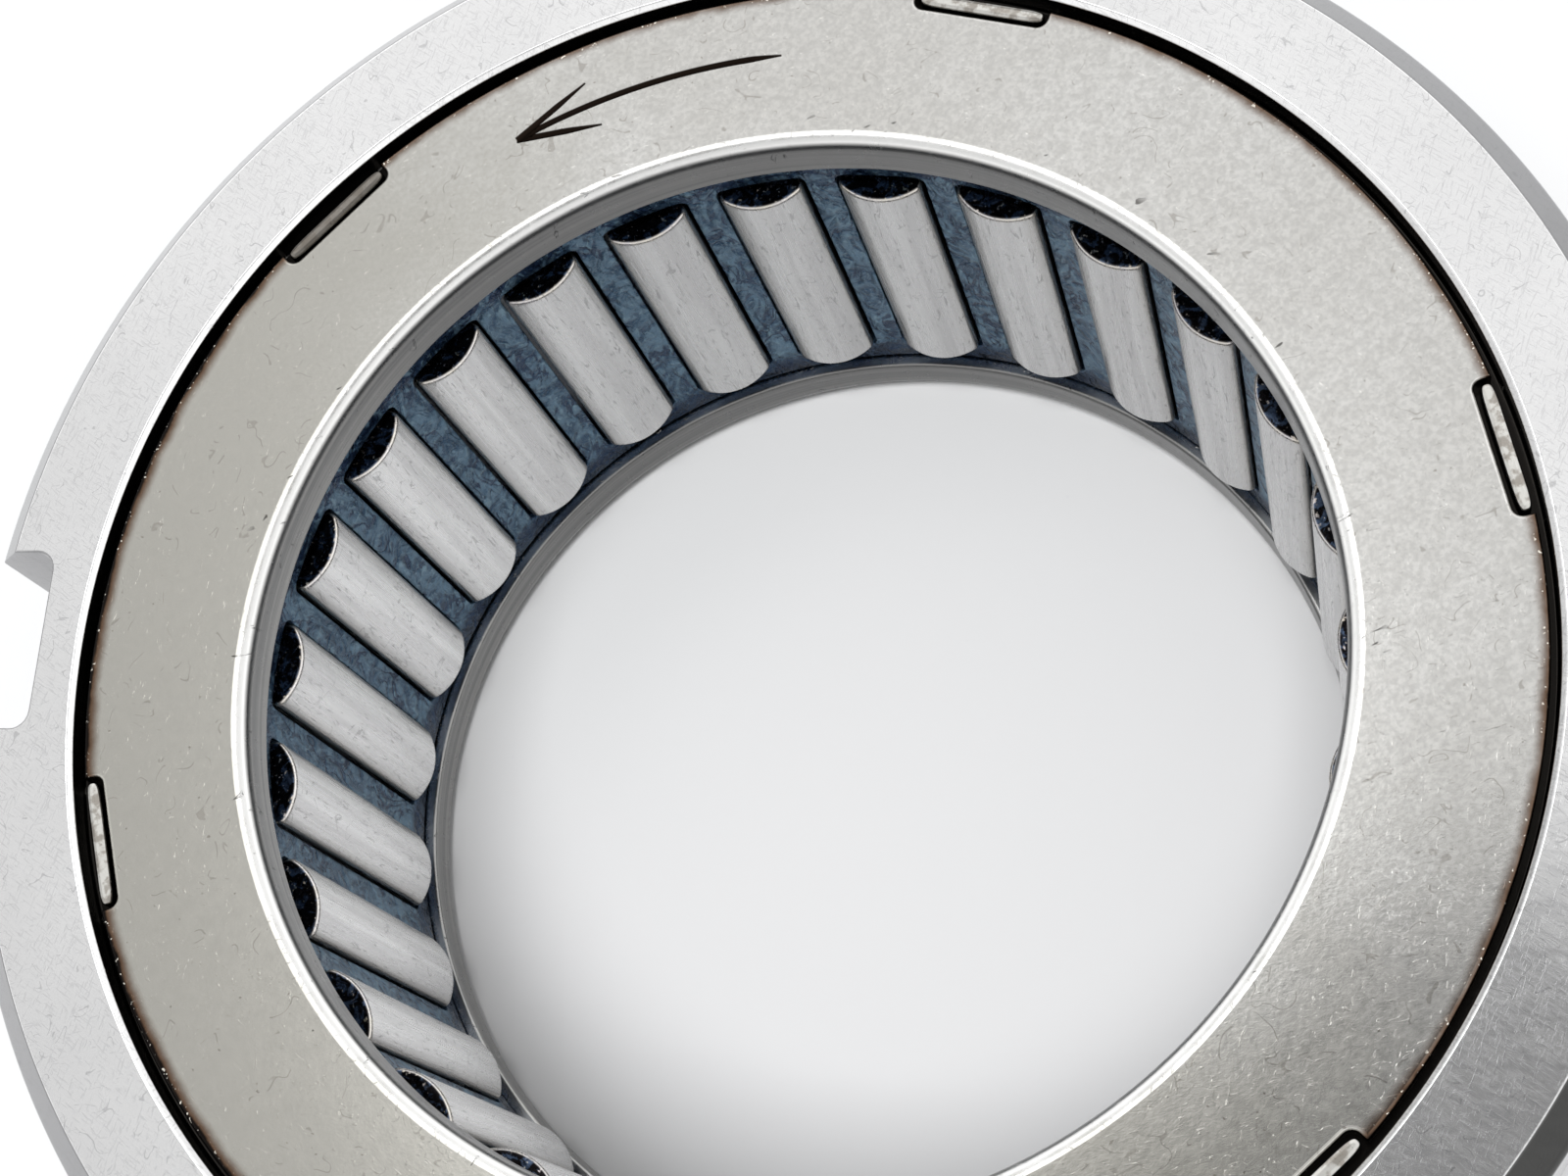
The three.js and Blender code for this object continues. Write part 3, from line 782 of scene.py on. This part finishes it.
def blued_steel():
    """Navy scale with pale smears and dark veins, and dark lubricant past the windows' ends."""
    s = Shader("blued_steel", metallic=0.88)
    smear = s.noise(s.stretch((460, 460, 300)), 1.0, 5.0, 0.6, 3.0)
    waves = s.noise(s.stretch((1500, 1500, 900)), 1.0, 4.0, 0.6, 2.5)
    flow = s.noise(s.stretch((520, 520, 260)), 1.0, 2.0, 0.5, 1.6)
    fold = s.math("ABSOLUTE", s.math("SUBTRACT", flow, 0.5))
    patch = s.range(s.noise(s.place, 420.0, 2.0), 0.40, 0.56)
    veins = s.math("MULTIPLY", s.range(fold, 0.050, 0.015), patch)
    pools = s.range(s.noise(s.stretch((520, 520, 620)), 1.0, 4.0, 0.6, 2.0), 0.47, 0.56)
    rings = s.math("MULTIPLY", pools, s.range(s.height(), *CAGE_POOL_HEIGHT))
    bottom = s.range(s.axis("Z"), *CAGE_BOTTOM_Z, 0.0, 0.85)
    colour = s.mix(s.range(smear, 0.40, 0.60), (0.030, 0.070, 0.125), (0.125, 0.210, 0.290))
    colour = s.mix(s.range(waves, 0.52, 0.66, 0.0, 0.5), colour, (0.25, 0.37, 0.44))
    dark = s.math("MAXIMUM", s.math("MULTIPLY", veins, 0.85), s.math("MAXIMUM", rings, bottom))
    colour = s.mix(dark, colour, (0.010, 0.028, 0.070))
    rough = s.math("SUBTRACT", s.range(smear, 0.3, 0.7, 0.26, 0.44), s.math("MULTIPLY", dark, 0.12))
    normal = s.bump(smear, 0.00035, 0.7)
    normal = s.bump(waves, 0.00018, 0.8, normal)
    normal = s.bump(fold, 0.0006, 0.8, normal)
    return s.finish(colour, rough, normal)


def spring_steel():
    s = Shader("spring_steel", metallic=1.0)
    rolled = s.noise(s.stretch((300, 300, 6000)), 1.0, 4.0)
    colour = s.mix(s.range(rolled, 0.3, 0.7), (0.22, 0.23, 0.25), (0.36, 0.37, 0.40))
    rough = s.range(rolled, 0.3, 0.7, 0.28, 0.42)
    return s.finish(colour, rough, s.bump(rolled, 0.00001, 0.5))


def table_white():
    s = Shader("table_white", metallic=0.0)
    soft = s.noise(s.place, 9.0, 3.0)
    specks = s.range(s.noise(s.place, 1500.0, 1.0), 0.80, 0.83)
    colour = s.mix(s.range(soft, 0.3, 0.7), (0.49, 0.495, 0.50), (0.51, 0.51, 0.515))
    colour = s.mix(s.math("MULTIPLY", specks, 0.35), colour, (0.45, 0.45, 0.47))
    rough = s.range(soft, 0.3, 0.7, 0.5, 0.62)
    return s.finish(colour, rough, s.bump(s.noise(s.place, 900.0, 3.0), 0.00003, 0.3))


# ---------------------------------------------------------------- assembly

def place(piece, body, node, material):
    piece.data.materials.clear()
    piece.data.materials.append(material)
    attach(piece, body)
    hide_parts(node)


def build_clutch():
    steel, pressed = ground_steel(), plate_steel()
    bright, blued, strip = cam_steel(), blued_steel(), spring_steel()
    place(make_race(), "race", "outer_race", steel)
    place(make_plate("plate_front", 1), "race", "front_side_plate", pressed)
    place(make_plate("plate_back", -1), "race", "back_side_plate", pressed)

    inner_turn = math.degrees(math.asin(CAM_OFFSET / INNER_CAGE["radius"]))
    outer_turn = -math.degrees(math.asin(CAM_OFFSET / CAM_LOBE["centre"]))
    rings = (
        ("cage_inner", "inner_cage", INNER_CAGE, CAM_FIRST + inner_turn, "blued_steel", blued),
        ("cage_outer", "outer_cage", OUTER_CAGE, CAM_FIRST + outer_turn, "blued_steel", blued),
        ("spring_strip", "ribbon_spring", SPRING, CAM_FIRST, "spring_steel", strip),
    )
    for name, node, ring, first, slot, material in rings:
        place(make_windowed_ring(name, ring, first), "cage", node, material)
    for index in range(CAM_COUNT):
        node = f"cam_{index + 1:02d}"
        place(make_cam(index), node, node, bright)


# ---------------------------------------------------------------- stage

def make_table():
    mesh = bpy.data.meshes.new("table")
    size, low = TABLE_REACH, cad_low.z
    corners = [(-size, -size, low), (size, -size, low), (size, size, low), (-size, size, low)]
    mesh.from_pydata(corners, [], [(0, 1, 2, 3)])
    table = bpy.data.objects.new("table", mesh)
    bpy.context.scene.collection.objects.link(table)
    mesh.materials.append(table_white())


def make_world():
    """A pale dome, dimmer towards low X and dark overhead, with a brighter ring and one bright spot."""
    world = bpy.data.worlds.new("room")
    bpy.context.scene.world = world
    world.use_nodes = True
    sky = Nodes(world.node_tree)
    overhead = sky.range(sky.axis("Z"), *DARK_OVERHEAD_Z, 1.0, 0.26)
    leftward = sky.range(sky.axis("X"), *DIM_SIDE_X, 0.78, 1.0)
    ring = sky.math("MULTIPLY", sky.range(sky.axis("Z"), *BRIGHT_RING_LOW_Z),
                    sky.range(sky.axis("Z"), *BRIGHT_RING_HIGH_Z))
    toward = sky.add("ShaderNodeVectorMath", {0: sky.place, 1: BRIGHT_SPOT["way"]}, operation="DOT_PRODUCT")
    spot = sky.range(toward.outputs["Value"], *BRIGHT_SPOT["cosine"])
    softboxes = sky.math("ADD", sky.math("MULTIPLY", ring, 0.5), 1.0)
    softboxes = sky.math("ADD", softboxes, sky.math("MULTIPLY", spot, 2.4))
    background = world.node_tree.nodes["Background"]
    background.inputs["Color"].default_value = (1.0, 1.0, 1.0, 1.0)
    level = sky.math("MULTIPLY", sky.math("MULTIPLY", overhead, leftward), softboxes)
    world.node_tree.links.new(level, background.inputs["Strength"])


def make_lamp():
    """A soft lamp that lights the table and leaves no mark in the steel."""
    lamp = bpy.data.lights.new("fill", "AREA")
    lamp.shape = "RECTANGLE"
    lamp.size = lamp.size_y = LAMP["size"]
    lamp.energy = LAMP["power"]
    light = bpy.data.objects.new("fill", lamp)
    light.location = LAMP["place"]
    light.rotation_mode = "QUATERNION"
    light.rotation_quaternion = Vector(LAMP["place"]).to_track_quat("Z", "Y")
    light.visible_glossy = False
    bpy.context.scene.collection.objects.link(light)


def make_camera():
    azimuth, elevation, roll = (math.radians(VIEW_ANGLES[a]) for a in ("azimuth", "elevation", "roll"))
    away = Vector((math.cos(azimuth) * math.cos(elevation), math.sin(azimuth) * math.cos(elevation),
                   math.sin(elevation)))
    level = (-away).cross(Vector((0, 0, 1))).normalized()
    over = level.cross(-away)
    right = math.cos(roll) * level + math.sin(roll) * over
    up = math.cos(roll) * over - math.sin(roll) * level
    data = bpy.data.cameras.new("camera")
    data.sensor_width = 36.0
    data.lens = LENS
    data.shift_x, data.shift_y = LENS_SHIFT
    data.clip_start, data.clip_end = 0.005, 20.0
    camera = bpy.data.objects.new("camera", data)
    turn = Matrix((right, up, away)).transposed().to_4x4()
    camera.matrix_world = Matrix.Translation((VIEW_AIM + away * VIEW_DISTANCE) * MM) @ turn
    bpy.context.scene.collection.objects.link(camera)
    bpy.context.scene.camera = camera


build_clutch()
make_table()
make_world()
make_lamp()
make_camera()
bpy.context.scene.view_settings.view_transform = "Standard"
